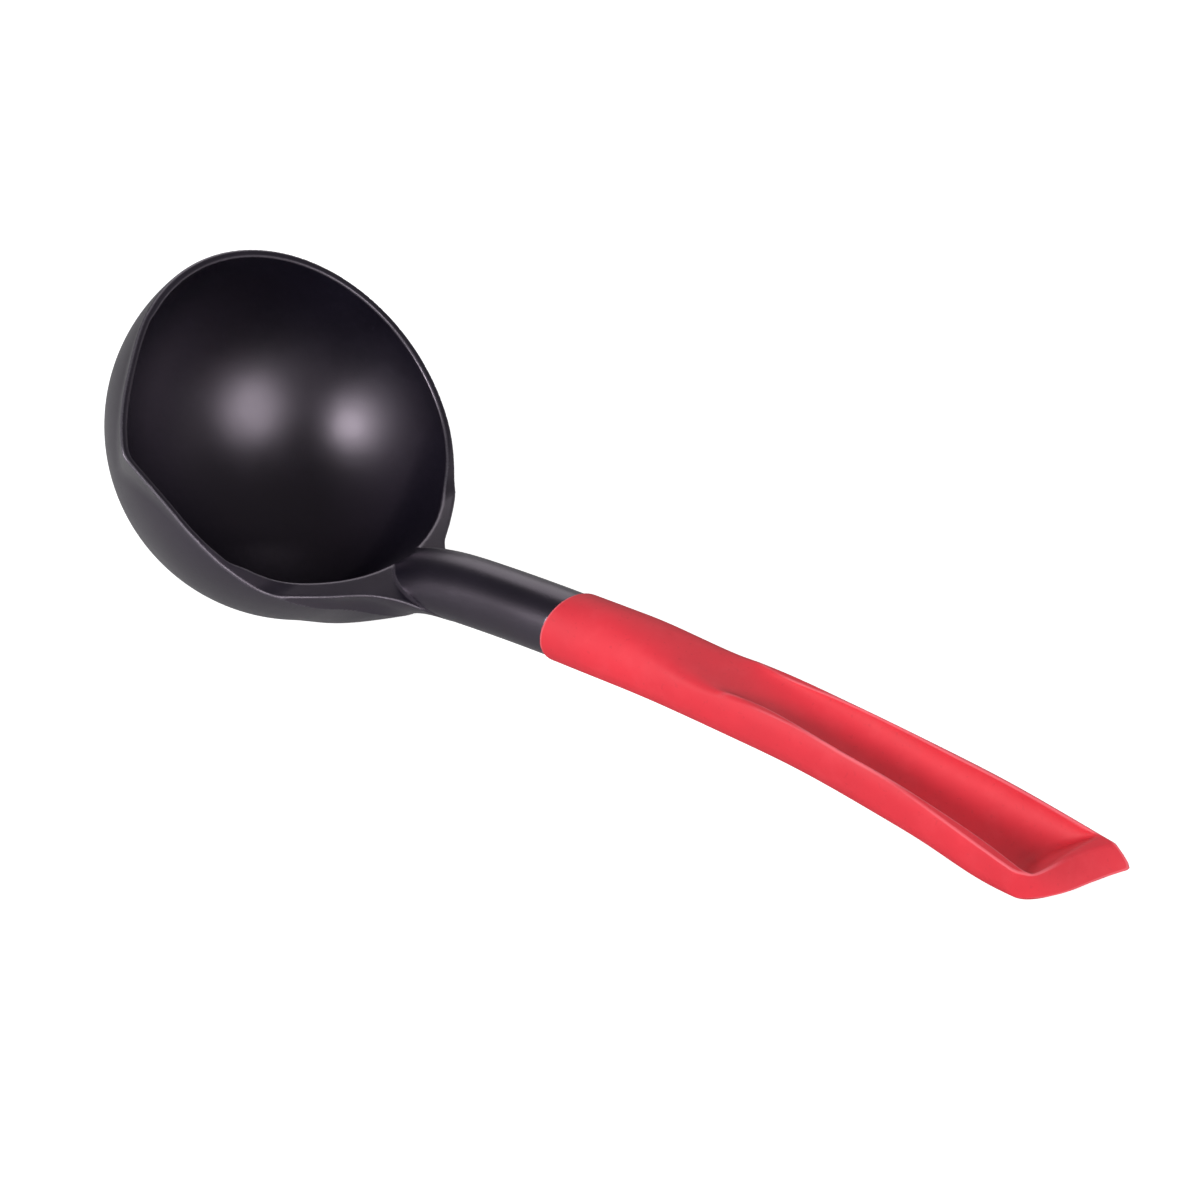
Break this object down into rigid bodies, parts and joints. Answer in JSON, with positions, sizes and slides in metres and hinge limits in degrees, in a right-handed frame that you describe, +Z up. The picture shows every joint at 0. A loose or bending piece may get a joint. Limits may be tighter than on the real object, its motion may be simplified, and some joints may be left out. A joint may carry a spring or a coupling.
{
  "type": "soup ladle",
  "caption": "Soup ladle with a deep round bowl, a pouring lip on one side, a round neck and a long grip with a finger trough at its end.",
  "frame": {"origin": "centre of the small flat under the bowl, on the surface the ladle lies on", "axes": "+X towards the end of the handle, +Z up from the surface, -Y the side with the pouring lip"},
  "size_m": [0.2883, 0.1034, 0.0866],
  "materials": {
    "black_nylon": "satin, fine moulded texture",
    "red_grip": "soft satin"
  },
  "bodies": {
    "root": {"ladle_head": "black_nylon", "grip": "red_grip"}
  },
  "joints": []
}
